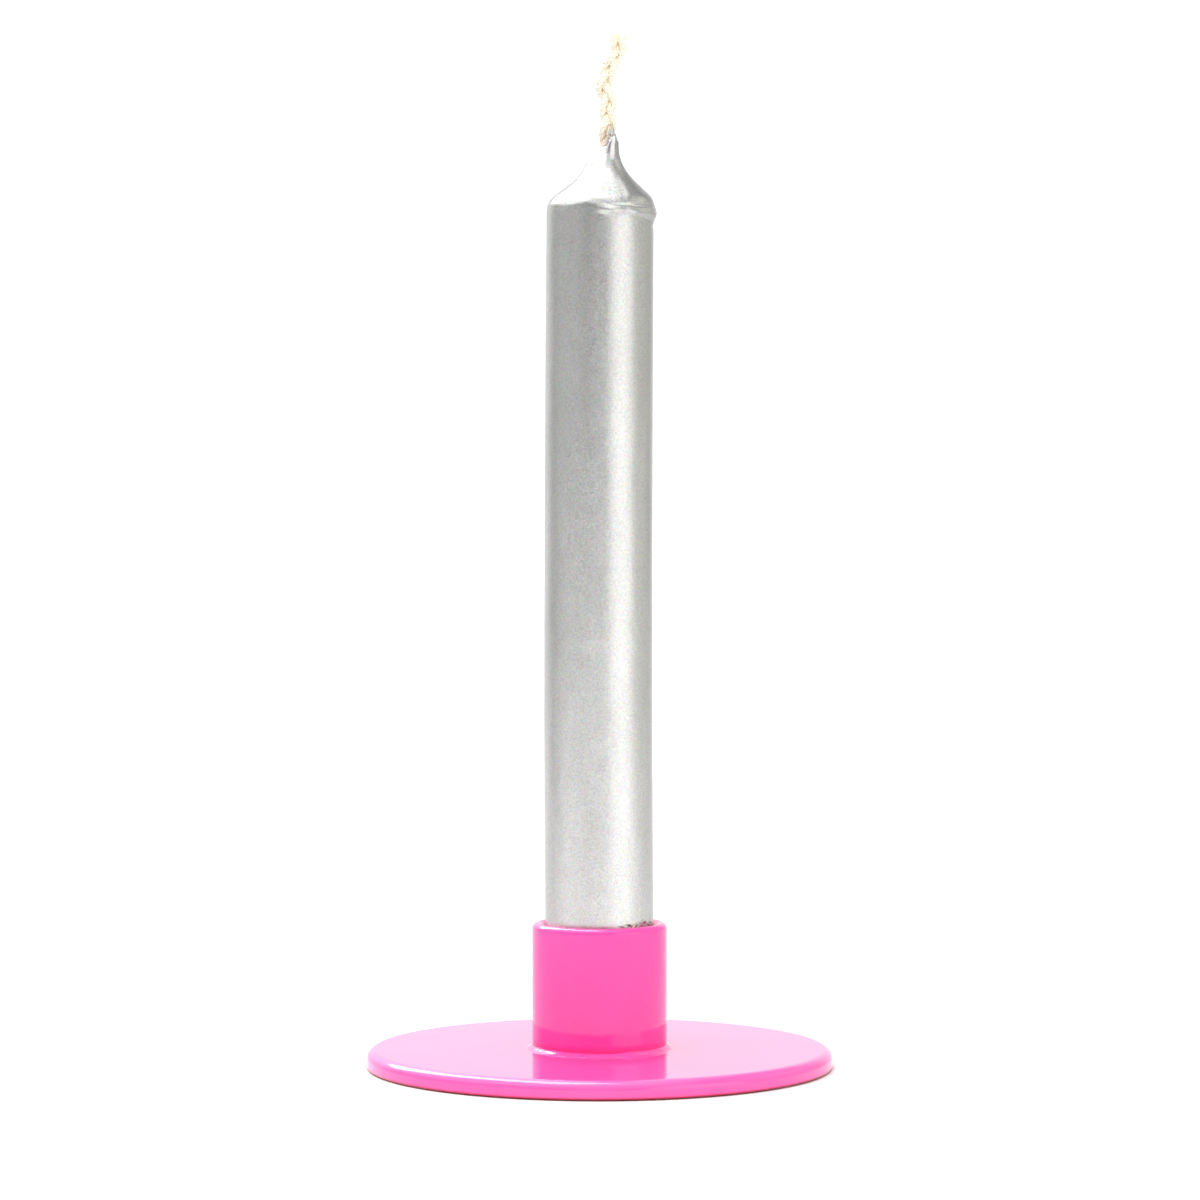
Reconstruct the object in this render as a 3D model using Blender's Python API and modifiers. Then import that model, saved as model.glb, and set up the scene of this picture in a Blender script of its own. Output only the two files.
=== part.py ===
"""Mini party candle standing in a round painted metal holder.

The holder is a flat round plate with a short socket tube welded to its middle. The candle is a
white wax core in a thin silver overdip, on a three-strand plaited cotton wick, and it lifts
straight out of the socket. Metres, +Z up, origin at the middle of the plate's underside.
"""

import math

import bpy
from mathutils import Vector

MM = 0.001

# Clearances
TOUCH_GAP = 0.3 * MM  # between two faces that touch on the real object
SOCKET_CLEARANCE = 0.3 * MM  # all round, between the candle and the socket's bore

# Base plate
PLATE_DIAMETER = 55.0 * MM
PLATE_THICKNESS = 2.25 * MM
PLATE_TOP_ROUND = 1.1 * MM
PLATE_FOOT_ROUND = 0.35 * MM

# Socket tube and the weld round its foot
SOCKET_WALL = 1.35 * MM
SOCKET_LENGTH = 14.5 * MM
WELD_LEG = 0.5 * MM
WELD_TOE = 0.08 * MM  # thickness of the bead at its two thin edges

# Candle
CANDLE_DIAMETER = 12.6 * MM
BODY_LENGTH = 98.8 * MM  # from the cut foot to the shoulder
SHOULDER_ROUND = 0.6 * MM
TIP_HEIGHT = 7.1 * MM  # from the shoulder to the top of the neck
TIP_HOLLOW = 1.65  # exponent of the tip's concave slope: 1 is a straight cone
COAT_THICKNESS = 0.4 * MM
CORE_LEAST_WALL = 0.3 * MM  # wax left round the wick where the core ends inside the tip

# Wick: strands that weave from side to side while they pass in front of each other
STRAND_NAMES = ("wick_strand_a", "wick_strand_b", "wick_strand_c")
STRAND_DIAMETER = 0.5 * MM
PLAIT_PITCH = 8.0 * MM
PLAIT_SWING = 0.68 * MM  # each strand's travel to either side of the wick's middle
PLAIT_DEPTH = 0.45 * MM  # each strand's travel to the front and back
POINTS_PER_PITCH = 12
WICK_HOLE_CLEARANCE = 0.15 * MM
# Height above the neck, and sideways bend, of the free end's middle line
WICK_BENDS = (
    (0.0 * MM, 0.0 * MM),
    (2.5 * MM, 0.0 * MM),
    (5.0 * MM, 0.05 * MM),
    (7.2 * MM, -0.4 * MM),
    (9.4 * MM, 0.35 * MM),
    (11.3 * MM, 1.25 * MM),
    (12.4 * MM, 1.4 * MM),
    (13.4 * MM, 1.25 * MM),
)

# Facets
PLATE_STEPS = 72
TURNED_STEPS = 48
ROUND_POINTS = 6  # points along a rounded edge
TIP_POINTS = 12
STRAND_BEVEL_RESOLUTION = 1  # gives a six-sided strand

# Sizes that follow from the ones above
PLATE_RADIUS = PLATE_DIAMETER / 2
CANDLE_RADIUS = CANDLE_DIAMETER / 2
SOCKET_BORE_RADIUS = CANDLE_RADIUS + SOCKET_CLEARANCE
SOCKET_RADIUS = SOCKET_BORE_RADIUS + SOCKET_WALL
SEAT_HEIGHT = PLATE_THICKNESS + TOUCH_GAP  # where the tube, the weld and the candle stand
WICK_HOLE_RADIUS = PLAIT_SWING + STRAND_DIAMETER / 2 + WICK_HOLE_CLEARANCE
NECK_RADIUS = WICK_HOLE_RADIUS + COAT_THICKNESS
NECK_HEIGHT = BODY_LENGTH + TIP_HEIGHT  # above the candle's foot

PINK = (1.0, 0.16, 0.5, 1.0)
SILVER = (0.66, 0.66, 0.65, 1.0)
WAX_WHITE = (0.93, 0.91, 0.86, 1.0)
COTTON = (0.93, 0.87, 0.74, 1.0)


def clear_scene():
    for obj in list(bpy.data.objects):
        bpy.data.objects.remove(obj, do_unlink=True)


def make_material(name, colour, roughness, metallic=0.0):
    made = bpy.data.materials.new(name)
    made.use_nodes = True
    shader = made.node_tree.nodes["Principled BSDF"]
    shader.inputs["Base Color"].default_value = colour
    shader.inputs["Roughness"].default_value = roughness
    shader.inputs["Metallic"].default_value = metallic
    return made


def make_group(name, height, collection):
    """An empty on the candle's axis, which carries the pieces that move together."""
    group = bpy.data.objects.new(name, None)
    group.location = (0, 0, height)
    group.empty_display_size = PLATE_RADIUS
    collection.objects.link(group)
    return group


def arc(centre, radius, start, end, points=ROUND_POINTS):
    """Points (radius, height) on an arc from start to end, in degrees."""
    angles = [math.radians(start + (end - start) * i / (points - 1)) for i in range(points)]
    return [(centre[0] + radius * math.cos(a), centre[1] + radius * math.sin(a)) for a in angles]


def offset_inwards(profile, distance):
    """The same profile moved to its inner side, for a profile that runs down its outer side."""
    moved = []
    for i, (radius, height) in enumerate(profile):
        before, after = profile[max(i - 1, 0)], profile[min(i + 1, len(profile) - 1)]
        along = Vector((after[0] - before[0], after[1] - before[1])).normalized()
        moved.append((radius + along.y * distance, height - along.x * distance))
    return moved


def turned(name, profile, closed, steps, finish, group, collection):
    """A solid or shell turned round Z from (radius, height) points, which run down its outer side."""
    mesh = bpy.data.meshes.new(name)
    edges = [(i, i + 1) for i in range(len(profile) - 1)]
    if closed:
        edges.append((len(profile) - 1, 0))
    mesh.from_pydata([(radius, 0, height) for radius, height in profile], edges, [])
    mesh.materials.append(finish)
    obj = bpy.data.objects.new(name, mesh)
    collection.objects.link(obj)
    obj.parent = group
    turn = obj.modifiers.new("turn", "SCREW")
    turn.steps = turn.render_steps = steps
    turn.use_merge_vertices = True
    turn.merge_threshold = 0.001 * MM
    turn.use_smooth_shade = True
    return obj


def make_base_plate(finish, group, collection):
    top = (PLATE_RADIUS - PLATE_TOP_ROUND, PLATE_THICKNESS - PLATE_TOP_ROUND)
    foot = (PLATE_RADIUS - PLATE_FOOT_ROUND, PLATE_FOOT_ROUND)
    profile = [(0, PLATE_THICKNESS)]
    profile += arc(top, PLATE_TOP_ROUND, 90, 0)
    profile += arc(foot, PLATE_FOOT_ROUND, 0, -90)
    profile += [(0, 0)]
    turned("base_plate", profile, False, PLATE_STEPS, finish, group, collection)


def make_socket_tube(finish, group, collection):
    """A straight tube whose rim is rounded over its whole wall."""
    half_wall = SOCKET_WALL / 2
    rim = (SOCKET_BORE_RADIUS + half_wall, SEAT_HEIGHT + SOCKET_LENGTH - half_wall)
    profile = arc(rim, half_wall, 180, 0, 2 * ROUND_POINTS - 1)
    profile += [(SOCKET_RADIUS, SEAT_HEIGHT), (SOCKET_BORE_RADIUS, SEAT_HEIGHT)]
    turned("socket_tube", profile, True, TURNED_STEPS, finish, group, collection)


def make_foot_weld(finish, group, collection):
    """A hollow-faced bead in the corner between the tube and the plate."""
    inner = SOCKET_RADIUS + TOUCH_GAP
    centre = (inner + WELD_LEG, SEAT_HEIGHT + WELD_LEG)
    profile = [(inner, centre[1])]
    profile += arc(centre, WELD_LEG - WELD_TOE, 180, 270)
    profile += [(centre[0], SEAT_HEIGHT), (inner, SEAT_HEIGHT)]
    turned("foot_weld", profile, True, TURNED_STEPS, finish, group, collection)


def candle_outline():
    """The candle's outside from the neck down to the cut foot, with the foot at height 0."""
    outline = []
    for i in range(TIP_POINTS):
        drop = i / TIP_POINTS * (TIP_HEIGHT - SHOULDER_ROUND)
        share = drop / TIP_HEIGHT
        radius = NECK_RADIUS + (CANDLE_RADIUS - NECK_RADIUS) * share**TIP_HOLLOW
        outline.append((radius, NECK_HEIGHT - drop))
    shoulder = (CANDLE_RADIUS - SHOULDER_ROUND, BODY_LENGTH - SHOULDER_ROUND)
    outline += arc(shoulder, SHOULDER_ROUND, 50, 0)
    outline.append((CANDLE_RADIUS, 0))
    return outline


def make_silver_coat(finish, group, collection):
    """The overdip: a thin shell over the tip and the sides, open round the wick and at the foot."""
    coat = turned("silver_coat", candle_outline(), False, TURNED_STEPS, finish, group, collection)
    shell = coat.modifiers.new("shell", "SOLIDIFY")
    shell.thickness = COAT_THICKNESS
    shell.offset = -1
    shell.use_even_offset = True


def make_wax_core(finish, group, collection):
    """The wax inside the overdip, with the wick's hole right through it."""
    outside = offset_inwards(candle_outline(), COAT_THICKNESS + TOUCH_GAP)
    least_radius = WICK_HOLE_RADIUS + CORE_LEAST_WALL
    profile = [point for point in outside if point[0] >= least_radius]
    top_height = profile[0][1]
    profile[-1] = (profile[-1][0], 0)
    profile += [(WICK_HOLE_RADIUS, 0), (WICK_HOLE_RADIUS, top_height)]
    turned("wax_core", profile, True, TURNED_STEPS, finish, group, collection)


def wick_middle(height):
    """Sideways place of the wick's middle line at a height above the candle's foot."""
    above = height - NECK_HEIGHT
    if above <= 0:
        return 0.0
    last = len(WICK_BENDS) - 1
    i = max(k for k in range(last) if WICK_BENDS[k][0] <= above)
    ends = [WICK_BENDS[min(max(k, 0), last)] for k in (i - 1, i, i + 1, i + 2)]
    (h0, x0), (h1, x1), (h2, x2), (h3, x3) = ends
    span = h2 - h1
    t = min((above - h1) / span, 1.0)
    slope1 = (x2 - x0) / (h2 - h0) * span
    slope2 = (x3 - x1) / (h3 - h1) * span
    return (
        x1 * (2 * t**3 - 3 * t**2 + 1)
        + slope1 * (t**3 - 2 * t**2 + t)
        + x2 * (3 * t**2 - 2 * t**3)
        + slope2 * (t**3 - t**2)
    )


def make_wick_strand(name, phase, finish, group, collection):
    """One strand of the plait, from the candle's foot to the wick's free end."""
    length = NECK_HEIGHT + WICK_BENDS[-1][0]
    count = round(length / PLAIT_PITCH * POINTS_PER_PITCH)
    curve = bpy.data.curves.new(name, "CURVE")
    curve.dimensions = "3D"
    curve.bevel_depth = STRAND_DIAMETER / 2
    curve.bevel_resolution = STRAND_BEVEL_RESOLUTION
    curve.use_fill_caps = True
    curve.materials.append(finish)
    spline = curve.splines.new("POLY")
    spline.points.add(count)
    for i, point in enumerate(spline.points):
        height = length * i / count
        angle = 2 * math.pi * i / POINTS_PER_PITCH + phase
        side = wick_middle(height) + PLAIT_SWING * math.sin(angle)
        point.co = (side, PLAIT_DEPTH * math.sin(2 * angle), height, 1)
    strand = bpy.data.objects.new(name, curve)
    collection.objects.link(strand)
    strand.parent = group


def main():
    clear_scene()
    parts = bpy.data.collections.new("mini_candle_in_holder")
    bpy.context.scene.collection.children.link(parts)

    paint = make_material("pink_paint", PINK, 0.12)
    silver = make_material("silver_overdip", SILVER, 0.38, 0.85)
    wax = make_material("white_wax", WAX_WHITE, 0.45)
    cotton = make_material("waxed_cotton", COTTON, 0.8)

    holder = make_group("holder", 0, parts)
    make_base_plate(paint, holder, parts)
    make_socket_tube(paint, holder, parts)
    make_foot_weld(paint, holder, parts)

    candle = make_group("candle", SEAT_HEIGHT, parts)
    make_wax_core(wax, candle, parts)
    make_silver_coat(silver, candle, parts)
    for number, name in enumerate(STRAND_NAMES):
        make_wick_strand(name, 2 * math.pi * number / len(STRAND_NAMES), cotton, candle, parts)


main()
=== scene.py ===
import math

import bpy
import numpy as np
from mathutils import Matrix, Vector, noise


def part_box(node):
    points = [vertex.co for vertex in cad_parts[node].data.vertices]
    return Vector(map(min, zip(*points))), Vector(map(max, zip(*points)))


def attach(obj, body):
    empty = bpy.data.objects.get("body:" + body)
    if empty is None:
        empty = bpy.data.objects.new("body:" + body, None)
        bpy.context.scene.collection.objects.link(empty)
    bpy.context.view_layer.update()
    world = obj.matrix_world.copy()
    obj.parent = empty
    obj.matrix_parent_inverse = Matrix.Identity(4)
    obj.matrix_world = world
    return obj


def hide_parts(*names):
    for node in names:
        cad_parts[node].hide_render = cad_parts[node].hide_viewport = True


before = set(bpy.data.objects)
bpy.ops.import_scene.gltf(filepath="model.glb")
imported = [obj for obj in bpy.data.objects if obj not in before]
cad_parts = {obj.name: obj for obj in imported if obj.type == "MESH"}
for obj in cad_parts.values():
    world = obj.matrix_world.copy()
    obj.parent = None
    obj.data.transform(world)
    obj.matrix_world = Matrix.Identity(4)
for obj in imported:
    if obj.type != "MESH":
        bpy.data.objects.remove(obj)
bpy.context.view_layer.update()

MM = 0.001

# The CAD's sizes, in millimetres
PLATE_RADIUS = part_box("base_plate")[1].x / MM
PLATE_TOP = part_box("base_plate")[1].z / MM
TUBE_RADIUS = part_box("socket_tube")[1].x / MM
RIM_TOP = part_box("socket_tube")[1].z / MM
CANDLE_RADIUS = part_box("silver_coat")[1].x / MM
CANDLE_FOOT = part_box("silver_coat")[0].z / MM
NECK_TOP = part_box("silver_coat")[1].z / MM
WICK_TOP = max(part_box(f"wick_strand_{letter}")[1].z for letter in "abc") / MM

# Shapes that the boxes don't give, in millimetres
PLATE_TOP_ROUND = 1.1
PLATE_FOOT_ROUND = 0.25
FOOT_GAP = 0.13  # how far the plate's edge stands clear of the table
FOOT_INSET = 0.4  # how far in from the edge's rounding the plate comes down to the table
SOCKET_CLEARANCE = 0.3
BORE_RADIUS = CANDLE_RADIUS + SOCKET_CLEARANCE
WALL = TUBE_RADIUS - BORE_RADIUS
TIP_HEIGHT = 7.1
SHOULDER = NECK_TOP - TIP_HEIGHT
COAT_THICKNESS = 0.4
LIP_THICKNESS = 0.08
COAT_FOOT_ROUND = 0.12
SMALL = 0.02  # an overlap or a clearance that isn't seen


# Meshes

def smoothstep(low, high, value):
    t = np.clip((value - low) / (high - low), 0.0, 1.0)
    return t * t * (3 - 2 * t)


def bump(value, centre, width):
    return np.exp(-(((value - centre) / width) ** 2))


def angle_from(angle, centre):
    """Difference between two angles in degrees, from -180 to 180."""
    return (angle - centre + 180.0) % 360.0 - 180.0


def hermite(v1, v2, slope1, slope2, t):
    """Smooth step from v1 to v2 as t goes from 0 to 1, with a slope at each end."""
    return (
        v1 * (2 * t**3 - 3 * t**2 + 1)
        + slope1 * (t**3 - 2 * t**2 + t)
        + v2 * (3 * t**2 - 2 * t**3)
        + slope2 * (t**3 - t**2)
    )


def round_the_clock(stops, angle):
    """Smooth periodic curve through (degrees, value) stops."""
    degrees = np.array([stop[0] for stop in stops], float)
    values = np.array([stop[1] for stop in stops], float)
    count = len(stops)
    angle = (np.asarray(angle, float) - degrees[0]) % 360.0 + degrees[0]
    index = np.clip(np.searchsorted(degrees, angle, side="right") - 1, 0, count - 1)
    start = degrees[index]
    following = (index + 1) % count
    span = (degrees[following] - start) % 360.0
    t = (angle - start) / span
    v0, v1, v2, v3 = (values[(index + step) % count] for step in (-1, 0, 1, 2))
    return hermite(v1, v2, (v2 - v0) / 2, (v3 - v1) / 2, t)


def curve_through(stops, column, value):
    """Smooth curve through rows of stops, whose first column rises: the given column at a value."""
    stops = np.array(stops, float)
    value = np.clip(value, stops[0, 0], stops[-1, 0])
    last = len(stops) - 1
    index = np.clip(np.searchsorted(stops[:, 0], value, side="right") - 1, 0, last - 1)
    places = [stops[np.clip(index + step, 0, last), 0] for step in (-1, 0, 1, 2)]
    v0, v1, v2, v3 = (stops[np.clip(index + step, 0, last), column] for step in (-1, 0, 1, 2))
    span = places[2] - places[1]
    t = (value - places[1]) / span
    slope1 = (v2 - v0) / (places[2] - places[0]) * span
    slope2 = (v3 - v1) / (places[3] - places[1]) * span
    return hermite(v1, v2, slope1, slope2, t)


def perlin(points, scale, seed=0.0):
    """Perlin noise at an array of points (..., 3), from about -1 to 1."""
    flat = np.asarray(points, float).reshape(-1, 3) * scale + seed
    values = [noise.noise(Vector(point)) for point in flat]
    return np.array(values).reshape(np.asarray(points).shape[:-1])


def arc(centre, radius, start, end, count):
    """(radius, height) points on an arc from start to end, in degrees."""
    angles = np.radians(np.linspace(start, end, count))
    return [(centre[0] + radius * math.cos(a), centre[1] + radius * math.sin(a)) for a in angles]


def turn(profile, segments):
    """Points (rings, segments, 3) of a profile of (radius, height) turned round Z."""
    profile = np.array(profile, float)
    angles = np.linspace(0, 2 * math.pi, segments, endpoint=False)
    points = np.empty((len(profile), segments, 3))
    points[..., 0] = profile[:, :1] * np.cos(angles)
    points[..., 1] = profile[:, :1] * np.sin(angles)
    points[..., 2] = profile[:, 1:]
    return points


def ring_faces(rings, segments, closed=False, first=0):
    """Quads between rings that run down the outer side. Closed joins the last ring to the first."""
    faces = []
    for ring in range(rings if closed else rings - 1):
        low = (ring + 1) % rings
        for i in range(segments):
            j = (i + 1) % segments
            faces.append(
                (
                    first + ring * segments + i,
                    first + low * segments + i,
                    first + low * segments + j,
                    first + ring * segments + j,
                )
            )
    return faces


def add_piece(name, points, faces, material):
    """A smooth-shaded mesh from points in millimetres."""
    mesh = bpy.data.meshes.new(name)
    mesh.from_pydata((np.asarray(points).reshape(-1, 3) * MM).tolist(), [], faces)
    mesh.polygons.foreach_set("use_smooth", [True] * len(mesh.polygons))
    mesh.materials.append(material)
    mesh.update()
    piece = bpy.data.objects.new(name, mesh)
    bpy.context.scene.collection.objects.link(piece)
    return piece


def add_disc(name, profile, segments, material):
    """A turned solid whose profile starts and ends on the axis, at its first and last heights."""
    points = turn(profile[1:-1], segments)
    rings = len(profile) - 2
    faces = ring_faces(rings, segments)
    top, bottom = rings * segments, rings * segments + 1
    last = (rings - 1) * segments
    for i in range(segments):
        j = (i + 1) % segments
        faces.append((top, i, j))
        faces.append((bottom, last + j, last + i))
    ends = [(0, 0, profile[0][1]), (0, 0, profile[-1][1])]
    return add_piece(name, np.vstack([points.reshape(-1, 3), ends]), faces, material)


def sweep(path, radii, sides):
    """Points and faces of a closed tube along path (n, 3), with parallel frames."""
    path = np.asarray(path, float)
    along = np.gradient(path, axis=0)
    along /= np.linalg.norm(along, axis=1)[:, None]
    side = np.cross(along[0], (0.0, 1.0, 0.0))
    if np.linalg.norm(side) < 1e-3:
        side = np.cross(along[0], (1.0, 0.0, 0.0))
    sides_along = []
    for tangent in along:
        side = side - tangent * side.dot(tangent)
        side = side / np.linalg.norm(side)
        sides_along.append(side)
    across = np.array(sides_along)
    other = np.cross(along, across)
    turns = np.linspace(0, 2 * math.pi, sides, endpoint=False)
    radii = np.broadcast_to(np.asarray(radii, float), (len(path),))
    ring = across[:, None] * np.cos(turns)[None, :, None] + other[:, None] * np.sin(turns)[None, :, None]
    points = path[:, None] + ring * radii[:, None, None]
    count = len(path)
    faces = [face[::-1] for face in ring_faces(count, sides)]
    faces.append(tuple(range(sides))[::-1])
    faces.append(tuple((count - 1) * sides + i for i in range(sides)))
    return points.reshape(-1, 3), faces


# Materials

class Nodes:
    """Short calls for building one material's node tree."""

    def __init__(self, name):
        self.material = bpy.data.materials.new(name)
        self.material.use_nodes = True
        self.tree = self.material.node_tree
        self.shader = self.tree.nodes["Principled BSDF"]
        self.place = self.tree.nodes.new("ShaderNodeMapping")
        coordinates = self.tree.nodes.new("ShaderNodeTexCoord")
        self.tree.links.new(coordinates.outputs["Object"], self.place.inputs["Vector"])
        self.place.inputs["Scale"].default_value = (1 / MM, 1 / MM, 1 / MM)

    def link(self, source, target):
        self.tree.links.new(source, target)

    def stretched(self, scale):
        """Coordinates in millimetres, stretched by a factor along each axis."""
        node = self.tree.nodes.new("ShaderNodeMapping")
        node.inputs["Scale"].default_value = scale
        self.link(self.place.outputs["Vector"], node.inputs["Vector"])
        return node.outputs["Vector"]

    def along(self, axis):
        """The place along X, Y or Z, in millimetres."""
        node = self.tree.nodes.new("ShaderNodeSeparateXYZ")
        self.link(self.place.outputs["Vector"], node.inputs["Vector"])
        return node.outputs[axis]

    def noise(self, scale, detail=2.0, rough=0.5, vector=None):
        node = self.tree.nodes.new("ShaderNodeTexNoise")
        node.inputs["Scale"].default_value = scale
        node.inputs["Detail"].default_value = detail
        node.inputs["Roughness"].default_value = rough
        self.link(vector or self.place.outputs["Vector"], node.inputs["Vector"])
        return node.outputs["Fac"]

    def cells(self, scale):
        node = self.tree.nodes.new("ShaderNodeTexVoronoi")
        node.inputs["Scale"].default_value = scale
        self.link(self.place.outputs["Vector"], node.inputs["Vector"])
        return node.outputs["Color"]

    def ramp(self, value, stops):
        node = self.tree.nodes.new("ShaderNodeValToRGB")
        elements = node.color_ramp.elements
        while len(elements) < len(stops):
            elements.new(0.5)
        for element, (place, colour) in zip(elements, stops):
            element.position = place
            element.color = (*colour, 1.0)
        self.link(value, node.inputs["Fac"])
        return node.outputs["Color"]

    def spread(self, value, low, high, start=0.0, end=1.0):
        """The value from start to end, spread from low to high."""
        node = self.tree.nodes.new("ShaderNodeMapRange")
        node.inputs["From Min"].default_value = start
        node.inputs["From Max"].default_value = end
        node.inputs["To Min"].default_value = low
        node.inputs["To Max"].default_value = high
        self.link(value, node.inputs["Value"])
        return node.outputs["Result"]

    def share(self, value, start, end):
        """0 below start, 1 above end, and straight between them."""
        return self.spread(value, 0.0, 1.0, start, end)

    def mix(self, factor, first, second, blend="MIX"):
        """Each input is a socket, a number or a colour."""
        node = self.tree.nodes.new("ShaderNodeMix")
        node.data_type = "RGBA"
        node.blend_type = blend
        for source, name in ((factor, "Factor"), (first, "A"), (second, "B")):
            kind = "NodeSocketFloatFactor" if name == "Factor" else "NodeSocketColor"
            socket = next(s for s in node.inputs if s.name == name and s.bl_idname == kind)
            if isinstance(source, (int, float)):
                socket.default_value = source
            elif isinstance(source, tuple):
                socket.default_value = (*source, 1.0)
            else:
                self.link(source, socket)
        return next(s for s in node.outputs if s.bl_idname == "NodeSocketColor")

    def attribute(self, name):
        node = self.tree.nodes.new("ShaderNodeAttribute")
        node.attribute_name = name
        return node.outputs["Fac"]

    def relief(self, height, depth, before=None):
        """Bump of a depth in millimetres."""
        node = self.tree.nodes.new("ShaderNodeBump")
        node.inputs["Strength"].default_value = 1.0
        node.inputs["Distance"].default_value = depth * MM
        self.link(height, node.inputs["Height"])
        if before is not None:
            self.link(before, node.inputs["Normal"])
        return node.outputs["Normal"]

    def into(self, name, source):
        if isinstance(source, (int, float)):
            self.shader.inputs[name].default_value = source
        else:
            self.link(source, self.shader.inputs[name])


def pink_paint():
    """Gloss paint, painted a little paler on the plate than on the tube as painted light, and with painted
    dark red shade along the plate's bottom edge.
    """
    made = Nodes("pink_gloss_paint")
    drift = made.noise(0.12, 3.0)
    on_tube = made.ramp(drift, ((0.3, (0.88, 0.043, 0.315)), (0.7, (0.93, 0.05, 0.34))))
    # The plate's colour is painted paler than the tube's, as painted light on the upward-facing plate
    plate_painted_paler = made.ramp(drift, ((0.3, (0.88, 0.075, 0.35)), (0.7, (0.93, 0.085, 0.37))))
    up_the_tube = made.share(made.along("Z"), PLATE_TOP, PLATE_TOP + 1.0)
    # Painted dark red shade along the bottom of the plate's edge, fading out upwards
    painted_edge_shade_fade = made.share(made.along("Z"), FOOT_GAP + 0.12, FOOT_GAP + 0.34)
    plate_with_painted_edge_shade = made.mix(painted_edge_shade_fade, (0.5, 0.016, 0.055), plate_painted_paler)
    made.into("Base Color", made.mix(up_the_tube, plate_with_painted_edge_shade, on_tube))
    made.into("Roughness", made.spread(made.noise(0.8, 3.0), 0.035, 0.075))
    made.into("IOR", 1.5)
    made.into("Coat Weight", 0.12)
    made.into("Coat Roughness", 0.45)
    peel = made.relief(made.noise(0.55, 2.0), 0.006)
    made.into("Normal", made.relief(made.noise(3.2, 2.0), 0.0004, before=peel))
    return made.material


def silver_dip(name, dark, light, low, high):
    """Metallic overdip between two greys and two roughnesses, with painted shade that darkens it higher up,
    and smoother on the tip.
    """
    made = Nodes(name)
    grain = made.ramp(made.noise(4.2, 3.0, 0.65), ((0.32, dark), (0.68, light)))
    flakes = made.cells(7.0)
    sparkle = made.mix(0.16, grain, flakes, "OVERLAY")
    streaks = made.noise(0.35, 3.0, 0.6, made.stretched((1.0, 1.0, 0.25)))
    shade = made.ramp(streaks, ((0.3, (0.9, 0.9, 0.89)), (0.7, (1.0, 1.0, 1.0))))
    shaded = made.mix(1.0, sparkle, shade, "MULTIPLY")
    up_the_candle = made.share(made.along("Z"), 20.0, 100.0)
    # Painted shade: the silver's colour is darkened higher up the candle
    painted_darker_higher = made.ramp(up_the_candle, ((0.0, (1.0, 1.0, 1.0)), (1.0, (0.82, 0.82, 0.815))))
    made.into("Base Color", made.mix(1.0, shaded, painted_darker_higher, "MULTIPLY"))
    made.into("Metallic", 0.94)
    grainy = made.spread(made.noise(5.0, 2.0), low, high, 0.3, 0.7)
    on_the_tip = made.share(made.along("Z"), SHOULDER - 0.6, SHOULDER + 0.6)
    smooth_tip, edge_tint, tip_edge_tint = (0.15, 0.15, 0.15), (0.92, 0.92, 0.92), (0.6, 0.6, 0.6)
    made.into("Roughness", made.mix(on_the_tip, grainy, smooth_tip))
    made.into("Specular Tint", made.mix(on_the_tip, edge_tint, tip_edge_tint))
    made.into("Coat Weight", 0.12)
    made.into("Coat Roughness", 0.3)
    slow = made.relief(made.noise(0.28, 2.0), 0.02)
    fine = made.relief(made.noise(3.6, 2.0, 0.6), 0.018, before=slow)
    made.into("Normal", made.relief(made.noise(9.0, 2.0, 0.6), 0.006, before=fine))
    return made.material


def white_wax():
    made = Nodes("white_wax")
    cloud = made.noise(0.4, 4.0)
    made.into("Base Color", made.ramp(cloud, ((0.3, (0.82, 0.79, 0.72)), (0.7, (0.88, 0.86, 0.81)))))
    made.into("Roughness", made.spread(made.noise(1.5, 3.0), 0.38, 0.6))
    made.into("Subsurface Weight", 0.25)
    made.into("Subsurface Scale", 1.5 * MM)
    made.into("Normal", made.relief(made.noise(1.8, 4.0), 0.05))
    return made.material


def wick_cotton():
    """Cream cotton, with warm painted shade in the hollows of the plait, and darker where wax has soaked
    in.
    """
    made = Nodes("plaited_cotton")
    fibres = made.noise(7.0, 3.0, 0.6, made.stretched((1.0, 1.0, 0.35)))
    thread = made.ramp(fibres, ((0.3, (0.76, 0.7, 0.57)), (0.62, (0.795, 0.755, 0.65))))
    hollow = made.attribute("hollow")
    # Painted warm shade in the hollows of the plait
    hollows_painted_shade = made.mix(hollow, thread, (0.96, 0.72, 0.45))
    waxed = made.mix(made.attribute("waxed"), hollows_painted_shade, (0.74, 0.6, 0.5))
    made.into("Base Color", waxed)
    made.into("Roughness", 0.85)
    made.into("Sheen Weight", 0.3)
    made.into("Subsurface Weight", 0.2)
    made.into("Subsurface Scale", 0.5 * MM)
    made.into("Normal", made.relief(fibres, 0.004))
    return made.material


def floor_white():
    """White, and a little greyer behind the object than in front of it."""
    made = Nodes("white_floor")
    behind = made.share(made.along("Y"), -60.0, 60.0)
    made.into("Base Color", made.ramp(behind, ((0.0, (0.96, 0.96, 0.96)), (1.0, (0.6, 0.6, 0.6)))))
    made.into("Roughness", made.spread(made.noise(0.05, 3.0), 0.7, 0.85))
    made.into("Specular IOR Level", 0.15)
    return made.material


# The holder

PLATE_SEGMENTS = 288
TUBE_SEGMENTS = 224


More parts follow.
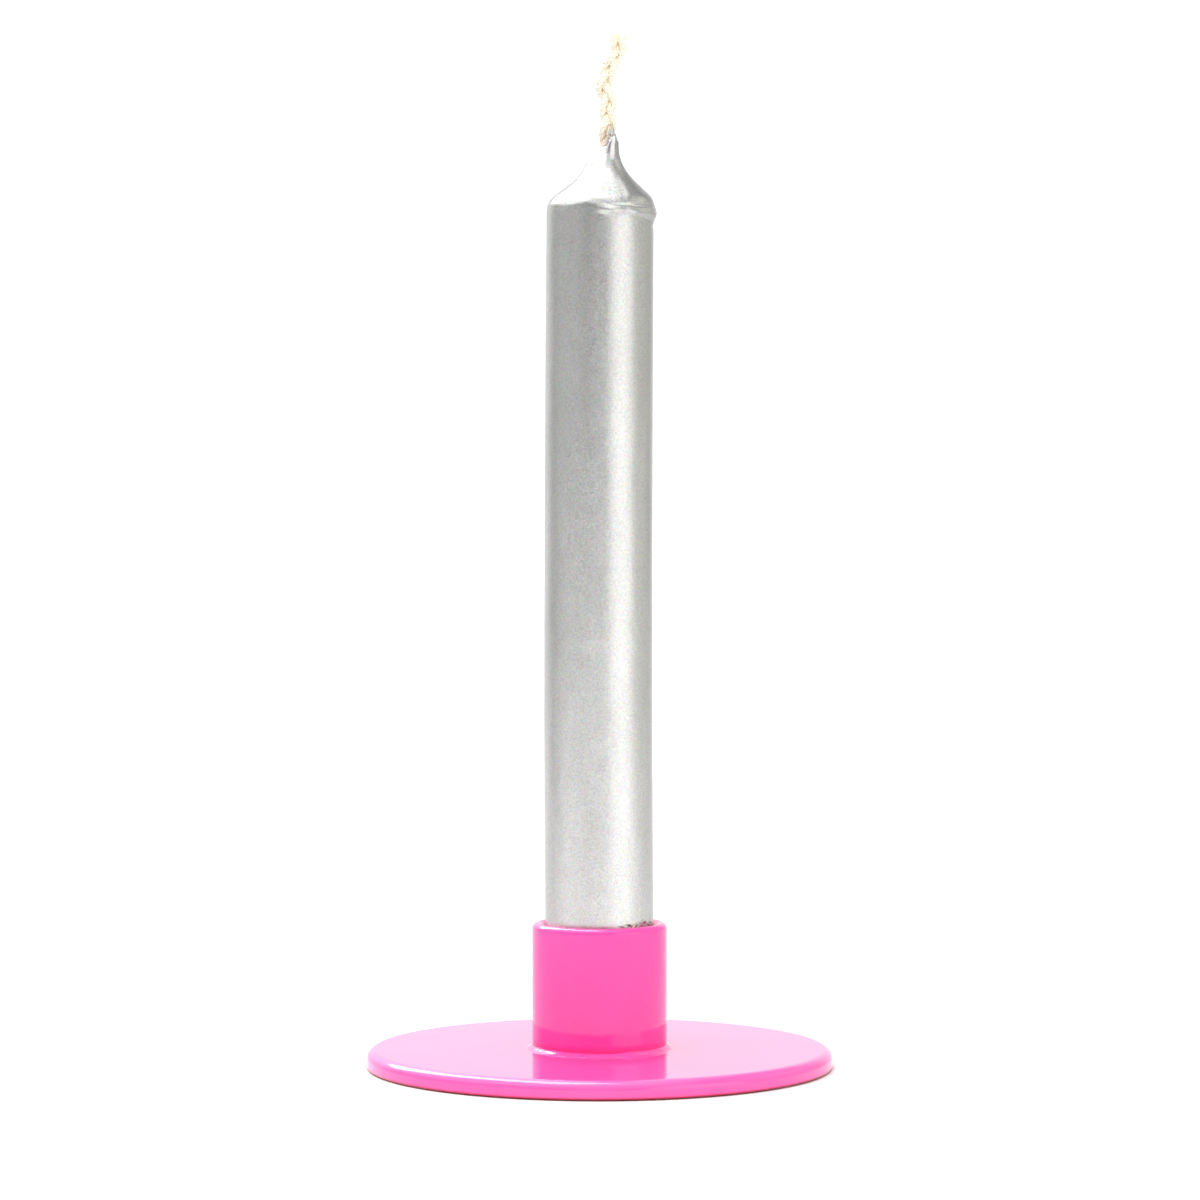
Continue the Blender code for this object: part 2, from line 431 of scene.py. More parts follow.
def make_plate(paint):
    """A turned disc, round at its top edge and stepped back a little under it."""
    top_round, foot_round = PLATE_TOP_ROUND, PLATE_FOOT_ROUND
    edge = PLATE_RADIUS - top_round
    rings = (TUBE_RADIUS - 1.0, TUBE_RADIUS + 2.0, 16.0, 22.0, edge - 0.3)
    profile = [(0, PLATE_TOP)]
    profile += [(radius, PLATE_TOP) for radius in rings]
    profile += arc((edge, PLATE_TOP - top_round), top_round, 90, 0, 16)
    profile += arc((PLATE_RADIUS - foot_round, foot_round + FOOT_GAP), foot_round, 0, -90, 8)
    inset = PLATE_RADIUS - foot_round - FOOT_INSET
    profile += [(inset, FOOT_GAP), (inset - 0.1, 0), (14.0, 0), (0, 0)]
    plate = add_disc("plate", profile, PLATE_SEGMENTS, paint)
    return dress(plate, "holder", "pink_paint", "base_plate")


def make_tube(paint):
    """The socket, down to the plate, with a rim that is round over the whole wall."""
    half = WALL / 2
    profile = arc((BORE_RADIUS + half, RIM_TOP - half), half, 180, 0, 25)
    foot = PLATE_TOP - SMALL
    heights = np.linspace(RIM_TOP - half, foot, 12)[1:]
    profile += [(TUBE_RADIUS, height) for height in heights]
    profile += [(BORE_RADIUS, height) for height in heights[::-1]]
    points = turn(profile, TUBE_SEGMENTS)
    tube = add_piece("socket", points, ring_faces(len(profile), TUBE_SEGMENTS, closed=True), paint)
    return dress(tube, "holder", "pink_paint", "socket_tube")


# Reach of the bead from the tube and its height up the tube, by angle: -90 is the front and 0 is +X
BEAD_REACH = (
    (-180, 0.75), (-150, 0.9), (-125, 1.1), (-105, 1.25), (-90, 1.0), (-78, 0.8), (-68, 1.25),
    (-50, 0.8), (-20, 0.75), (10, 0.8), (45, 1.0), (80, 0.8), (120, 0.9), (150, 0.8),
)
BEAD_RISE = (
    (-180, 0.42), (-150, 0.45), (-125, 0.42), (-105, 0.36), (-90, 0.34), (-78, 0.32), (-66, 0.46),
    (-40, 0.45), (0, 0.46), (50, 0.4), (100, 0.45), (145, 0.4),
)
BEAD_SEGMENTS = 360
BEAD_STEPS = 14


def make_bead(paint):
    """The uneven fillet of weld and paint round the tube's foot."""
    segments, steps = BEAD_SEGMENTS, BEAD_STEPS
    angles = np.linspace(0, 360, segments, endpoint=False)
    reach = round_the_clock(BEAD_REACH, angles)
    rise = round_the_clock(BEAD_RISE, angles)
    turns = np.radians(angles)
    inner = TUBE_RADIUS - 2 * SMALL
    rings = []
    for share in np.linspace(0, 1, steps):
        height = PLATE_TOP + rise * (1 - smoothstep(-0.05, 1.0, share)) + SMALL / 2
        rings.append((inner + reach * share, height))
    base = np.full(segments, PLATE_TOP - SMALL)
    rings.append((inner + reach, base))
    rings.append((np.full(segments, inner), base))
    points = np.empty((len(rings), segments, 3))
    for ring, (out, height) in enumerate(rings):
        points[ring, :, 0] = out * np.cos(turns)
        points[ring, :, 1] = out * np.sin(turns)
        points[ring, :, 2] = height
    lumps = perlin(points[1:steps - 1], 1.1, 3.0) * 0.05
    points[1:steps - 1, :, 2] += np.maximum(lumps, -0.02)
    bead = add_piece("socket_bead", points, ring_faces(len(rings), segments, closed=True), paint)
    return dress(bead, "holder", "pink_paint", "foot_weld")


# The candle

# The pulled tip, upwards: height over the shoulder, radius, and how far its middle stands towards +X
TIP_PROFILE = (
    (-0.5, CANDLE_RADIUS, 0.0), (0.1, CANDLE_RADIUS - 0.02, 0.04), (0.5, 6.18, 0.1),
    (0.95, 5.98, 0.18), (1.4, 5.6, 0.27), (2.3, 4.48, 0.42), (3.25, 3.38, 0.52),
    (4.2, 2.6, 0.52), (5.15, 2.08, 0.5), (6.1, 1.58, 0.66), (7.15, 1.26, 0.9),
)
# A narrow pleat stands up on the front of the neck, right of the middle: its angle and half-width in
# degrees, how far it stands out, and the height over the shoulder of its middle and its half-length
PLEAT_ANGLE = -66
PLEAT_WIDTH = 24
PLEAT_HEIGHT = 0.45
PLEAT_MIDDLE = 7.2
PLEAT_LENGTH = 1.5
# How far the shoulder's edge is raised, by angle, and where over the shoulder that is felt
SHOULDER_LINE = (
    (-180, -0.1), (-150, -0.1), (-124, -0.25), (-106, -0.12), (-94, -0.3), (-86, -0.45),
    (-78, -0.6), (-64, -0.6), (-56, -0.45), (-48, -0.5), (-35, -0.4), (-15, -0.2), (0, -0.1),
    (28, -0.1), (60, 0.3), (90, 0.4), (120, 0.05), (150, 0.1),
)
SHOULDER_LINE_MIDDLE = 0.4
SHOULDER_LINE_REACH = 2.1
# The fold of dip that hangs from the shoulder, by angle: how far it stands out, how far down the
# skin its crest lies, its half-width, and the depth of the crease above it
FOLD_SWELL = (
    (-180, 0.0), (-120, 0.0), (-97, 0.0), (-90, 0.08), (-80, 0.26), (-69, 0.26), (-60, 0.1),
    (-50, 0.3), (-42, 0.2), (-32, 0.26), (-18, 0.34), (0, 0.36), (22, 0.27), (45, 0.14), (75, 0.06),
    (110, 0.12), (145, 0.04),
)
FOLD_CREST = (
    (-180, 0.2), (-98, 0.3), (-76, 0.3), (-64, 0.35), (-56, 0.5), (-47, 0.55), (-38, 0.6),
    (-20, 0.65), (0, 0.68), (30, 0.5), (60, 0.4), (110, 0.5), (145, 0.3),
)
FOLD_WIDTH = (
    (-180, 0.4), (-98, 0.45), (-64, 0.45), (-47, 0.35), (-35, 0.5), (-15, 0.8), (0, 0.85),
    (30, 0.7), (75, 0.4), (110, 0.6), (145, 0.4),
)
CREASE_DEPTH = (
    (-180, 0.0), (-92, 0.0), (-84, 0.03), (-74, 0.09), (-60, 0.12), (-40, 0.1), (-20, 0.05),
    (5, 0.0), (90, 0.0),
)
CREASE_ABOVE = 0.75  # from the fold's crest up to the crease
CREASE_WIDTH = 0.12
# How far the dip's torn lip at the neck is raised, by angle, and how far down the neck that is felt
LIP_LINE = (
    (-180, -0.2), (-130, -0.15), (-101, -0.1), (-88, 0.3), (-75, 0.75), (-59, 1.05), (-42, 0.85),
    (-20, 0.6), (5, 0.5), (40, 0.2), (80, -0.1), (130, -0.25),
)
LIP_LINE_REACH = 2.0
COAT_SEGMENTS = 256
CORE_SEGMENTS = 128

# The candle's slight bow: height, how far its middle stands towards +X, and how much wider it is there
BOW = (
    (2.5, 0.0, 0.04), (20.0, -0.05, 0.06), (43.0, -0.16, 0.07), (73.0, -0.09, 0.06), (90.0, -0.01, 0.03),
    (101.3, 0.07, 0.0),
)


def body_middle(height):
    """How far the candle's middle stands towards +X at a height."""
    return curve_through(BOW, 1, height) + curve_through(TIP_PROFILE, 2, height - SHOULDER)


def outline():
    """(radius, height) down the candle's outside, from the neck to the cut foot: finest at the shoulder."""
    heights = np.concatenate([
        np.linspace(NECK_TOP, SHOULDER + 1.2, 60, endpoint=False),
        np.linspace(SHOULDER + 1.2, SHOULDER - 2.4, 84, endpoint=False),
        np.linspace(SHOULDER - 2.4, CANDLE_FOOT + 0.3, 130),
    ])
    radii = curve_through(TIP_PROFILE, 1, heights - SHOULDER) + curve_through(BOW, 2, heights)
    foot = (CANDLE_RADIUS - COAT_FOOT_ROUND, CANDLE_FOOT + COAT_FOOT_ROUND)
    return np.array(list(zip(radii, heights)) + arc(foot, COAT_FOOT_ROUND, 0, -90, 4))


def coat_depth(height):
    """Thickness of the dip at a height: it thins up the tip."""
    return np.interp(height, (SHOULDER, NECK_TOP - 1.5), (COAT_THICKNESS, LIP_THICKNESS))


def fold(down, angles):
    """How far the shoulder's fold stands off the skin, at a distance down the skin from the shoulder."""
    crest, width = round_the_clock(FOLD_CREST, angles), round_the_clock(FOLD_WIDTH, angles)
    swell = round_the_clock(FOLD_SWELL, angles)
    crease = round_the_clock(CREASE_DEPTH, angles) * bump(down, crest - CREASE_ABOVE, CREASE_WIDTH)
    undercut = 0.2 * swell * bump(down, crest + 1.7 * width, 0.5 * width)
    return swell * bump(down, crest, width) - crease - undercut


def skin(rows, depth, segments):
    """The candle's outside (rings, segments, 3), sunk by a depth, with the marks of dipping."""
    angles = np.linspace(0, 360, segments, endpoint=False)[None, :]
    radius = rows[:, :1] + np.zeros_like(angles)
    height = rows[:, 1:] + np.zeros_like(angles)
    middle = body_middle(rows[:, 1:])
    over = height - SHOULDER
    slope = np.gradient(rows[:, 0]) / np.minimum(np.gradient(rows[:, 1]), -1e-6)
    upward = -slope / np.hypot(slope, 1.0)
    upward = np.where(rows[:, 1] > SHOULDER - 3.0, upward, 0.0)[:, None]
    steps = np.hypot(np.diff(rows[:, 0]), np.diff(rows[:, 1]))
    down = np.concatenate([[0], np.cumsum(steps)])
    down = down - np.interp(-SHOULDER, -rows[:, 1], down)
    raised = fold(down[:, None], angles) + 0.015 * np.sin(np.radians(2 * angles) + height * 0.07)
    pleat = np.exp(-((angle_from(angles, PLEAT_ANGLE) / PLEAT_WIDTH) ** 4))
    radius = radius + PLEAT_HEIGHT * pleat * bump(over, PLEAT_MIDDLE, PLEAT_LENGTH)
    radius = radius - depth + raised * np.sqrt(1 - upward**2)
    height = height + raised * upward
    by_the_shoulder = bump(over, SHOULDER_LINE_MIDDLE, SHOULDER_LINE_REACH)
    by_the_lip = smoothstep(TIP_HEIGHT - LIP_LINE_REACH, TIP_HEIGHT, over)
    height = height + by_the_shoulder * round_the_clock(SHOULDER_LINE, angles)
    height = height + by_the_lip * round_the_clock(LIP_LINE, angles)
    points = np.empty((*radius.shape, 3))
    turns = np.radians(angles)
    points[..., 0] = radius * np.cos(turns) + middle
    points[..., 1] = radius * np.sin(turns)
    points[..., 2] = height
    return points


def make_coat(silver):
    """The overdip: outside, torn lip, inside and cut foot in one closed shell."""
    segments = COAT_SEGMENTS
    rows = outline()
    outside = skin(rows, 0.0, segments)
    ripple = perlin(outside, 0.5, 5.0) * np.where(outside[..., 2] > SHOULDER, 0.005, 0.02)
    around = np.degrees(np.arctan2(outside[..., 1], outside[..., 0]))
    crease_zone = bump(angle_from(around, -32), 0, 30)
    crease_zone = crease_zone * bump(outside[..., 2], RIM_TOP + 0.35, 0.7)
    creases = np.abs(perlin(outside, 2.2, 9.0)) * 0.1 * crease_zone
    outward = outside[..., :2] - outside[..., :2].mean(axis=1, keepdims=True)
    outward /= np.linalg.norm(outward, axis=2)[..., None]
    outside[..., :2] += outward * (ripple + creases)[..., None]
    inner_rows = rows[::-1][::6]
    depths = coat_depth(inner_rows[:, 1])
    inner_rows[0, 1] = CANDLE_FOOT
    inner_rows[0, 0] = CANDLE_RADIUS
    inside = skin(inner_rows, depths[:, None], segments)
    points = np.concatenate([outside, inside])
    coat = add_piece("silver_dip", points, ring_faces(len(points), segments, closed=True), silver)
    return dress(coat, "candle", "silver_overdip", "silver_coat")


def make_core(wax):
    """The wax inside the dip, closed round the wick at the neck and at the foot."""
    segments = CORE_SEGMENTS
    rows = outline()[::3]
    inside = rows[rows[:, 1] < NECK_TOP - 0.4]
    outer = skin(inside, coat_depth(inside[:, 1])[:, None] + SMALL, segments)
    hole = [(0.72, CANDLE_FOOT), (1.0, CANDLE_FOOT + 0.6)]
    hole += [(1.0, NECK_TOP - 2.4), (0.62, NECK_TOP - 1.2), (0.6, NECK_TOP - 0.55)]
    inner = turn(hole, segments)
    inner[..., 0] += body_middle(inner[..., 2])
    foot = outer[-1:].copy()
    foot[..., 2] = CANDLE_FOOT + SMALL
    points = np.concatenate([outer, foot, inner])
    core = add_piece("wax_body", points, ring_faces(len(points), segments, closed=True), wax)
    return dress(core, "candle", "white_wax", "wax_core")


def sheet_faces(rows, columns):
    """Quads of a grid of points, row by row."""
    return [
        (r * columns + c, r * columns + c + 1, (r + 1) * columns + c + 1, (r + 1) * columns + c)
        for r in range(rows - 1)
        for c in range(columns - 1)
    ]


def thicken(piece, thickness):
    solid = piece.modifiers.new("thickness", "SOLIDIFY")
    solid.thickness = thickness * MM
    solid.offset = 0


FLAKE_THICKNESS = 0.03
CRINKLE_FROM, CRINKLE_TO = -74, -6  # degrees


def make_crinkles(silver):
    """The torn, creased dip where the candle was pushed into the socket."""
    across, up = 90, 22
    angles = np.linspace(CRINKLE_FROM, CRINKLE_TO, across)[None, :]
    rise = np.linspace(0, 1, up)[:, None]
    top = 0.42 + 0.2 * np.sin(np.radians(angles * 7.0)) + 0.12 * np.sin(np.radians(angles * 17.0 + 40))
    height = RIM_TOP - 0.5 + rise * (top + 0.5)
    place = np.stack([angles * 0.11 + 0 * rise, height, 0 * height], axis=-1)
    folds = np.abs(perlin(place, 1.5, 1.0)) * 0.22 + np.abs(perlin(place, 3.4, 2.0)) * 0.07
    edge = 1 - bump(rise, 0.0, 0.35)
    start = smoothstep(CRINKLE_FROM, CRINKLE_FROM + 10, angles)
    end = 1 - smoothstep(CRINKLE_TO - 8, CRINKLE_TO, angles)
    out = CANDLE_RADIUS + SMALL + folds * (0.25 + 0.75 * edge) * start * end
    turns = np.radians(angles)
    points = np.stack([out * np.cos(turns) + body_middle(height), out * np.sin(turns), height], axis=-1)
    flake = add_piece("dip_crinkle", points, sheet_faces(up, across), silver)
    thicken(flake, FLAKE_THICKNESS)
    return dress(flake, "candle", "silver_overdip")


TATTERS_FROM, TATTERS_TO = -92, -12  # degrees


def make_tatters(silver):
    """The crumpled scraps of dip that stand on the torn lip, against the wick."""
    across, up = 46, 26
    angles = np.linspace(TATTERS_FROM, TATTERS_TO, across)[None, :]
    rise = np.linspace(0, 1, up)[:, None]
    low = NECK_TOP + round_the_clock(LIP_LINE, angles) - 0.25
    ragged = 1.1 + 0.3 * np.sin(np.radians(angles * 13 + 60)) + 0.2 * np.sin(np.radians(angles * 31))
    start = smoothstep(TATTERS_FROM, TATTERS_FROM + 16, angles)
    end = 1 - 0.8 * smoothstep(-50, TATTERS_TO - 2, angles)
    ragged = ragged * start * end + 0.3
    height = low + rise * ragged
    place = np.stack([angles * 0.02 + 0 * rise, height, 0 * height], axis=-1)
    crumple = perlin(place, 1.7, 4.0) * 0.22 + perlin(place, 4.0, 8.0) * 0.06
    away = TIP_PROFILE[-1][1] - 0.06 - 0.16 * rise + crumple * smoothstep(0.0, 0.3, rise)
    turns = np.radians(angles)
    middle = body_middle(NECK_TOP)
    points = np.stack([away * np.cos(turns) + middle, away * np.sin(turns), height], axis=-1)
    scraps = add_piece("dip_scraps", points, sheet_faces(up, across), silver)
    thicken(scraps, FLAKE_THICKNESS)
    return dress(scraps, "candle", "silver_overdip")


# Small raised nicks in the dip: angle, height, length, and tilt in degrees
NICKS = (
    (-132, 74.6, 0.62, 25), (-143, 72.7, 0.5, -20), (-128, 73.6, 0.26, 50), (-60, 88.0, 0.22, 10),
    (38, 61.0, 0.4, -35), (96, 84.5, 0.5, 15), (141, 40.2, 0.3, 60), (170, 66.3, 0.34, -10),
)


def make_nicks(silver):
    """Each nick is a low, pointed blister, half sunk in the dip."""
    rings, sides = 7, 12
    half_width, half_height = 0.09, 0.06
    all_points, all_faces = [], []
    for angle, height, length, tilt in NICKS:
        turned = math.radians(angle)
        out = np.array([math.cos(turned), math.sin(turned), 0.0])
        level = np.array([-out[1], out[0], 0.0])
        up = np.array([0.0, 0.0, 1.0])
        lean = math.radians(tilt)
        along = level * math.cos(lean) + up * math.sin(lean)
        across = up * math.cos(lean) - level * math.sin(lean)
        centre = out * (CANDLE_RADIUS - 0.01) + (body_middle(height), 0.0, height)
        steps = np.linspace(-1, 1, rings)
        path = centre + along * steps[:, None] * length / 2
        width = np.maximum(1 - np.abs(steps) ** 1.5, 0.04)
        turns = np.linspace(0, 2 * math.pi, sides, endpoint=False)
        ring = across * np.cos(turns)[:, None] * half_width + out * np.sin(turns)[:, None] * half_height
        points = path[:, None] + ring[None] * width[:, None, None]
        first = len(all_points) * rings * sides
        all_faces += ring_faces(rings, sides, first=first)
        all_faces.append(tuple(first + i for i in range(sides)))
        all_faces.append(tuple(first + (rings - 1) * sides + i for i in range(sides))[::-1])
        all_points.append(points.reshape(-1, 3))
    nicks = add_piece("dip_nicks", np.concatenate(all_points), all_faces, silver)
    return dress(nicks, "candle", "silver_overdip")


# The wick

PLAIT_PITCH = 8.0
PLAIT_SWING = 0.62  # to each side
PLAIT_DEPTH = 0.36  # to the front and to the back
STRAND_RADIUS = 0.45
PLY_RADIUS = 0.25
PLIES = 3
PLY_PITCH = 1.9
PLY_SIDES = 10
FIBRES = 620
FIBRE_SIDES = 4
# The free end: height over the neck's top, and how far its middle stands towards +X of the neck's
WICK_BENDS = (
    (0.0, 0.0), (2.5, 0.0), (5.0, 0.05), (7.2, -0.4), (9.4, 0.35), (11.3, 1.25), (12.4, 1.4),
    (13.4, 1.25),
)


def wick_middle(height):
    """Sideways place of the wick's middle line: the neck's, and the free end's own bends."""
    return curve_through(WICK_BENDS, 1, height - NECK_TOP) + body_middle(np.minimum(height, NECK_TOP))


def strand_line(phase, heights):
    """Middle line of a strand, in a figure of eight that is tighter in the neck and looser at the end."""
    angle = 2 * math.pi * (heights - CANDLE_FOOT) / PLAIT_PITCH + phase
    loose = 1 + 0.12 * smoothstep(WICK_TOP - 1.2, WICK_TOP, heights)
    loose = loose - 0.22 * (1 - smoothstep(NECK_TOP - 2.2, NECK_TOP + 0.8, heights))
    x = wick_middle(heights) + PLAIT_SWING * loose * np.sin(angle)
    y = PLAIT_DEPTH * loose * np.sin(2 * angle)
    return np.stack([x, y, heights], axis=-1)


def set_values(piece, name, values):
    layer = piece.data.attributes.new(name, "FLOAT", "POINT")
    layer.data.foreach_set("value", np.asarray(values, np.float32))


def make_strand(letter, phase, cotton, lucky):
    """One strand of the plait, twisted from plies."""
    hidden = np.linspace(CANDLE_FOOT + 0.03, NECK_TOP - 3, 260, endpoint=False)
    free = np.linspace(NECK_TOP - 3, WICK_TOP - 0.15 - 0.5 * lucky.random(), 230)
    heights = np.concatenate([hidden, free])
    line = strand_line(phase, heights)
    along = np.gradient(line, axis=0)
    along /= np.linalg.norm(along, axis=1)[:, None]
    across = np.cross(along, (0.0, 1.0, 0.0))
    across /= np.linalg.norm(across, axis=1)[:, None]
    other = np.cross(along, across)
    length = np.concatenate([[0], np.cumsum(np.linalg.norm(np.diff(line, axis=0), axis=1))])
    all_points, all_faces, hollow = [], [], []
    middle = np.stack([wick_middle(heights), 0 * heights, heights], axis=-1)
    for ply in range(PLIES):
        twist = 2 * math.pi * (length / PLY_PITCH + ply / PLIES)
        wander = 1 + 0.12 * np.sin(length * 1.7 + ply * 2.1 + phase)
        out = across * np.cos(twist)[:, None] + other * np.sin(twist)[:, None]
        path = line + out * ((STRAND_RADIUS - PLY_RADIUS) * wander)[:, None]
        thickness = PLY_RADIUS * (1 + 0.1 * np.sin(length * 2.9 + ply * 1.3 + phase * 2))
        end = 1 - 0.55 * smoothstep(WICK_TOP - 0.7, WICK_TOP, heights)
        points, faces = sweep(path, thickness * end, PLY_SIDES)
        first = sum(len(part) for part in all_points)
        all_points.append(points)
        all_faces += [tuple(first + i for i in face) for face in faces]
        # Where the painted shade of the hollows goes: the inner side of each ply and the plait's middle
        strand_side = np.linalg.norm(points - np.repeat(line, PLY_SIDES, axis=0), axis=1) / STRAND_RADIUS
        wick_side = np.linalg.norm((points - np.repeat(middle, PLY_SIDES, axis=0))[:, :2], axis=1)
        in_strand, in_wick = 1 - smoothstep(0.45, 0.95, strand_side), 1 - smoothstep(0.2, 0.7, wick_side)
        hollow.append(0.5 * in_strand + 0.5 * in_wick)
    points = np.concatenate(all_points)
    strand = add_piece(f"wick_yarn_{letter}", points, all_faces, cotton)
    set_values(strand, "hollow", np.clip(np.concatenate(hollow), 0, 1))
    set_values(strand, "waxed", wax_share(points))
    return dress(strand, "candle", "wick_cotton", f"wick_strand_{letter}")


def wax_share(points):
    """How far the wax has soaked in: most at the neck, none 2.6 mm above it."""
    return 0.85 * (1 - smoothstep(NECK_TOP + 0.2, NECK_TOP + 2.6, points[:, 2]))


def make_fuzz(cotton, lucky):
    """Loose fibres that stand off the free end."""
    all_points, all_faces = [], []
    first = 0
    for _ in range(FIBRES):
        height = NECK_TOP + 0.8 + (WICK_TOP - NECK_TOP - 1.0) * lucky.random() ** 0.85
        phase = 2 * math.pi * lucky.integers(3) / 3
        root = strand_line(phase, np.array([height]))[0]
        turned = lucky.uniform(0, 2 * math.pi)
        away = np.array([math.cos(turned), math.sin(turned), lucky.uniform(-0.5, 0.9)])
        away /= np.linalg.norm(away)
        curl = lucky.normal(0, 0.45, 3)
        reach = lucky.uniform(0.15, 0.75)
        steps = np.linspace(0, 1, 6)[:, None]
        path = root + away * (STRAND_RADIUS * 0.8) + away * steps * reach + curl * steps**2 * reach
        radii = lucky.uniform(0.006, 0.013) * (1 - 0.6 * steps[:, 0])
        points, faces = sweep(path, radii, FIBRE_SIDES)
        all_points.append(points)
        all_faces += [tuple(first + i for i in face) for face in faces]
        first += len(points)
    points = np.concatenate(all_points)
    fuzz = add_piece("wick_fibres", points, all_faces, cotton)
    set_values(fuzz, "hollow", np.zeros(len(points)))
    set_values(fuzz, "waxed", wax_share(points) * 0.5)
    return dress(fuzz, "candle", "wick_cotton")


def dress(piece, body, slot, *nodes):
    """Gives a piece its body and hides the CAD nodes that it stands for. The slot is not used."""
    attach(piece, body)
    if nodes:
        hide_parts(*nodes)
    return piece


# The studio

FLOOR_HALF_WIDTH = 0.4  # metres
FLOOR_HALF_LENGTH = 3.0  # metres


def make_floor(white):
    """A long white table, which the world's white meets all round."""
    columns, rows = 5, 13
    points = [
        (x, y, 0.0)
        for y in np.linspace(-FLOOR_HALF_LENGTH, FLOOR_HALF_LENGTH, rows)
        for x in np.linspace(-FLOOR_HALF_WIDTH, FLOOR_HALF_WIDTH, columns)
    ]
    mesh = bpy.data.meshes.new("floor")
    mesh.from_pydata(points, [], sheet_faces(rows, columns))
    mesh.materials.append(white)
    floor = bpy.data.objects.new("floor", mesh)
    bpy.context.scene.collection.objects.link(floor)


# Soft round lights: azimuth from the front towards the right, elevation, half-angle that is fully lit,
# half-angle where it ends, colour
LIGHTS = (
    ("backdrop", 190, 8, 32, 56, (0.94, 0.94, 0.94)),
    ("back_left", 214, 38, 12, 38, (0.6, 0.6, 0.61)),
    ("overhead", 250, 66, 22, 60, (1.85, 1.85, 1.86)),
    ("front_high", 0, 55, 15, 50, (1.15, 1.15, 1.15)),
    ("front_right", 48.5, 6, 13, 33.5, (1.95, 1.93, 1.9)),
    ("high_right", 90, 50, 15, 50, (0.33, 0.33, 0.33)),
    ("right_wall", 104, 12, 12, 50, (0.63, 0.63, 0.57)),
    ("left_wall", 284, 12, 15, 60, (0.46, 0.46, 0.46)),
)
# Long lights, seen in glossy faces only: which way a long side faces, the direction of the middle,
# half the width and half the length in degrees, colour
STRIPS = (
    ("strip_left", (-0.818, -0.554, -0.154), (-0.38, 0.32, 0.868), 11, 36, (11.0, 10.95, 10.9)),
)
STRIP_WIDTH_FADE = 2  # degrees
STRIP_LENGTH_FADE = 4  # degrees
ROOM = (0.25, 0.25, 0.246)
BACKGROUND_STRENGTH = 1.2


def maths(tree, operation, first, second):
    """One vector operation on two inputs, each one a socket or a constant."""
    node = tree.nodes.new("ShaderNodeVectorMath")
    node.operation = operation
    for place, value in enumerate((first, second)):
        if isinstance(value, tuple):
            node.inputs[place].default_value = value
        else:
            tree.links.new(value, node.inputs[place])
    return node.outputs["Value" if operation == "DOT_PRODUCT" else "Vector"]


def fade(tree, value, dark, bright):
    """From 0 where the value is dark to 1 where it is bright."""
    node = tree.nodes.new("ShaderNodeMapRange")
    node.interpolation_type = "SMOOTHSTEP"
    node.inputs["From Min"].default_value = dark
    node.inputs["From Max"].default_value = bright
    tree.links.new(value, node.inputs["Value"])
    return node.outputs["Result"]


def scaled(tree, colour, share):
    """A colour, either a socket or a constant, times a share."""
    node = tree.nodes.new("ShaderNodeVectorMath")
    node.operation = "SCALE"
    if isinstance(colour, tuple):
        node.inputs[0].default_value = colour
    else:
        tree.links.new(colour, node.inputs[0])
    tree.links.new(share, node.inputs["Scale"])
    return node.outputs["Vector"]


def cosine(degrees):
    return math.cos(math.radians(degrees))


def sine(degrees):
    return math.sin(math.radians(degrees))


def round_light(tree, direction, azimuth, elevation, inside, outside, colour):
    level = cosine(elevation)
    aim = (sine(azimuth) * level, -cosine(azimuth) * level, sine(elevation))
    towards = maths(tree, "DOT_PRODUCT", direction, aim)
    return scaled(tree, colour, fade(tree, towards, cosine(outside), cosine(inside)))


def strip_light(tree, direction, side, middle, width, length, colour):
    across = maths(tree, "DOT_PRODUCT", direction, side)
    away = tree.nodes.new("ShaderNodeMath")
    away.operation = "ABSOLUTE"
    tree.links.new(across, away.inputs[0])
    low, high = width - STRIP_WIDTH_FADE, width + STRIP_WIDTH_FADE
    narrow = fade(tree, away.outputs[0], sine(high), sine(low))
    near, far = length - STRIP_LENGTH_FADE, length + STRIP_LENGTH_FADE
    along = fade(tree, maths(tree, "DOT_PRODUCT", direction, middle), cosine(far), cosine(near))
    return scaled(tree, scaled(tree, colour, narrow), along)


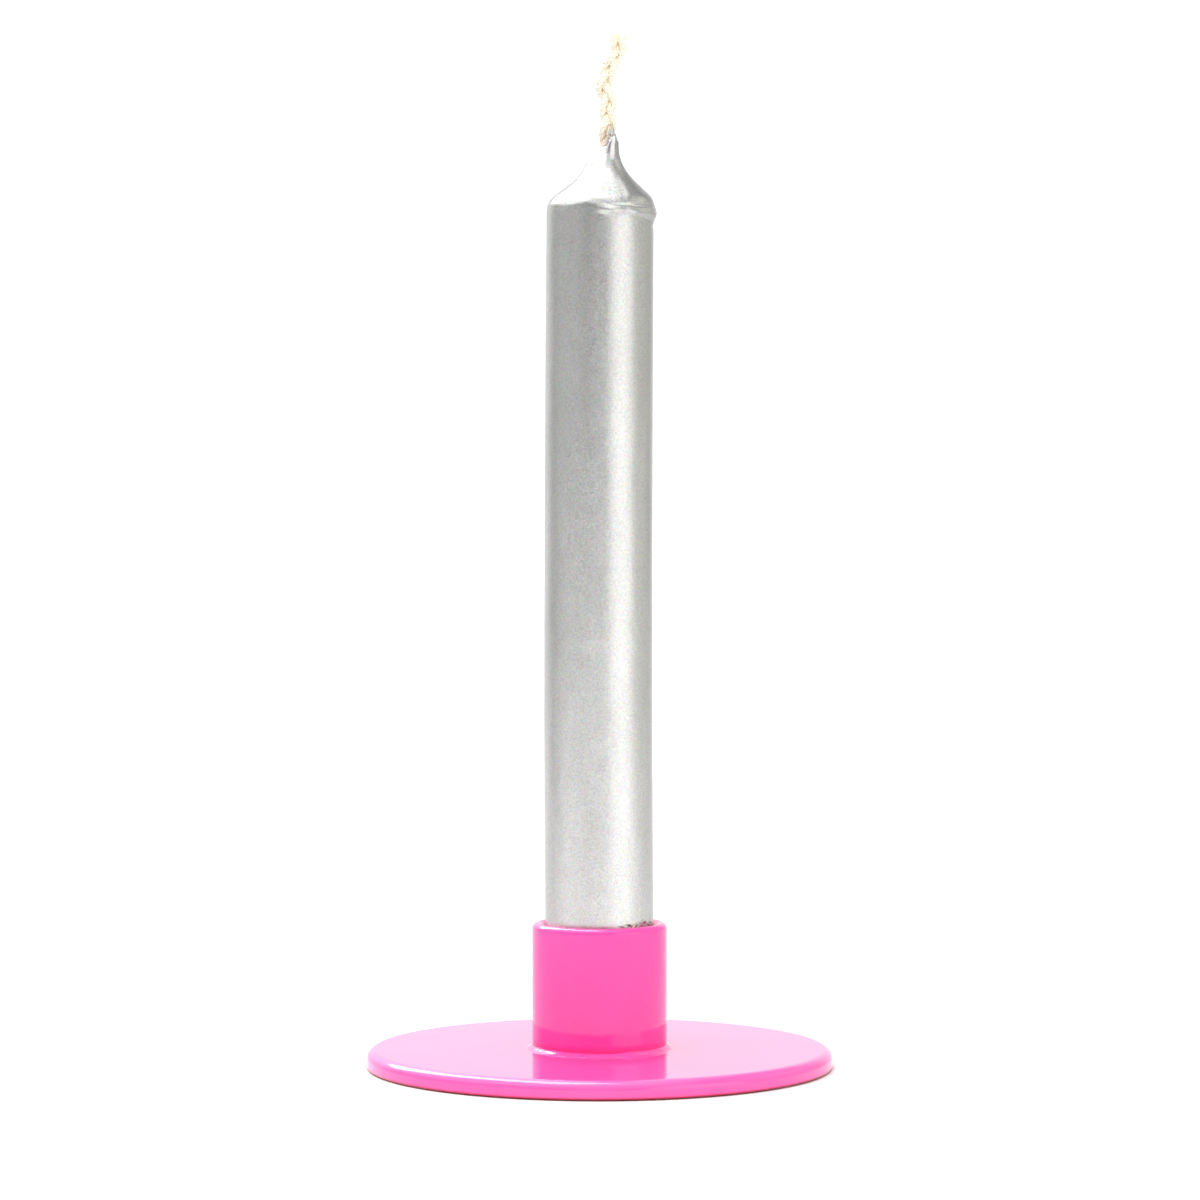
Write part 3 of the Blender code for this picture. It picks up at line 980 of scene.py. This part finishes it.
def make_world():
    """White to the camera. To everything else, a dim room with the lights in it."""
    world = bpy.data.worlds.new("studio")
    bpy.context.scene.world = world
    world.use_nodes = True
    tree = world.node_tree
    background = tree.nodes["Background"]
    direction = tree.nodes.new("ShaderNodeTexCoord").outputs["Generated"]
    total = ROOM
    for _, *light in LIGHTS:
        total = maths(tree, "ADD", round_light(tree, direction, *light), total)
    path = tree.nodes.new("ShaderNodeLightPath")
    for _, *light in STRIPS:
        glint = scaled(tree, strip_light(tree, direction, *light), path.outputs["Is Glossy Ray"])
        total = maths(tree, "ADD", glint, total)
    tree.links.new(total, background.inputs["Color"])
    seen = tree.nodes.new("ShaderNodeBackground")
    seen.inputs["Color"].default_value = (1.0, 1.0, 1.0, 1.0)
    seen.inputs["Strength"].default_value = BACKGROUND_STRENGTH
    choose = tree.nodes.new("ShaderNodeMixShader")
    tree.links.new(path.outputs["Is Camera Ray"], choose.inputs["Fac"])
    tree.links.new(background.outputs["Background"], choose.inputs[1])
    tree.links.new(seen.outputs["Background"], choose.inputs[2])
    tree.links.new(choose.outputs["Shader"], tree.nodes["World Output"].inputs["Surface"])


CAMERA_PLACE = (0.05 * MM, -450 * MM, 64.7 * MM)
CAMERA_PITCH = -1.22  # degrees
CAMERA_VIEW = 17.86  # degrees across the frame


def make_camera():
    data = bpy.data.cameras.new("camera")
    data.sensor_width = 36.0
    data.lens = data.sensor_width / 2 / math.tan(math.radians(CAMERA_VIEW / 2))
    data.clip_start = 0.01
    camera = bpy.data.objects.new("camera", data)
    camera.location = CAMERA_PLACE
    camera.rotation_euler = (math.radians(90 + CAMERA_PITCH), 0, 0)
    bpy.context.scene.collection.objects.link(camera)
    bpy.context.scene.camera = camera


def main():
    make_camera()
    make_world()
    make_floor(floor_white())

    paint = pink_paint()
    make_plate(paint)
    make_tube(paint)
    make_bead(paint)

    silver = silver_dip("silver_dip_grain", (0.505, 0.505, 0.5), (0.635, 0.635, 0.63), 0.28, 0.38)
    # A darker copy of the silver for the crinkles by the socket: painted shade in the creases
    creased = silver_dip("silver_dip_creased_painted_shade", (0.3, 0.29, 0.27), (0.56, 0.55, 0.54), 0.2, 0.34)
    make_core(white_wax())
    make_coat(silver)
    make_crinkles(creased)
    make_nicks(silver)
    make_tatters(silver)

    cotton = wick_cotton()
    lucky = np.random.default_rng(7)
    for number, letter in enumerate("abc"):
        make_strand(letter, 2 * math.pi * number / 3, cotton, lucky)
    make_fuzz(cotton, lucky)

    settings = bpy.context.scene.view_settings
    settings.view_transform = "Standard"
    settings.look = "None"


main()
